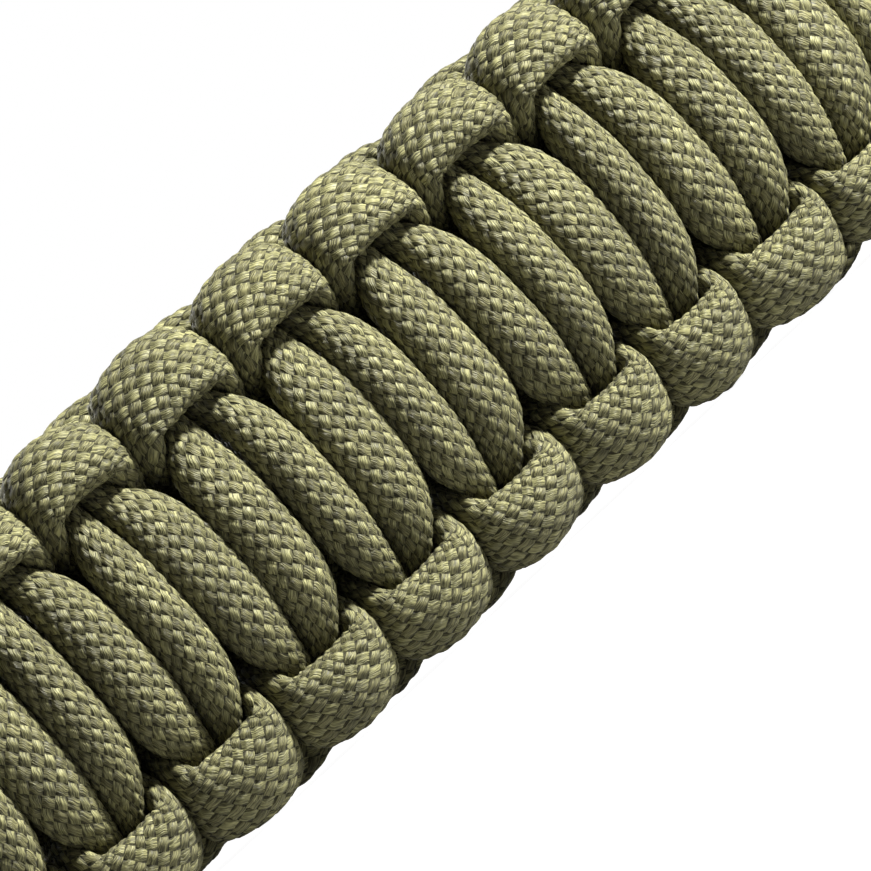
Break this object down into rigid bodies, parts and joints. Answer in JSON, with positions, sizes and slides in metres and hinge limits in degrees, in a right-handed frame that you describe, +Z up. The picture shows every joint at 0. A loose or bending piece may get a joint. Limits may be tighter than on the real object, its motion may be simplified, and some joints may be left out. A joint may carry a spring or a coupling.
{
  "type": "paracord bracelet",
  "caption": "Flat olive cord bracelet lying on its side, knotted round core cords with a row of bumps along each edge, and hitched at both ends to a plain dark clasp.",
  "frame": {"origin": "middle of the bottom of the bounding box, on the surface that the bracelet lies on", "axes": "+X along the long front stretch, +Y from the front stretch to the clasp, +Z up, across the width of the band"},
  "size_m": [0.1094, 0.061, 0.0248],
  "materials": {
    "woven_cord": "braided nylon sheath, olive drab, matt with a soft thread sheen",
    "core_cord": "braided nylon sheath, olive drab, matt",
    "clasp": "fine matt black moulded plastic"
  },
  "bodies": {
    "root": {"core_cord": "core_cord", "over_cord": "woven_cord", "under_cord": "woven_cord", "clasp": "clasp"}
  },
  "joints": []
}
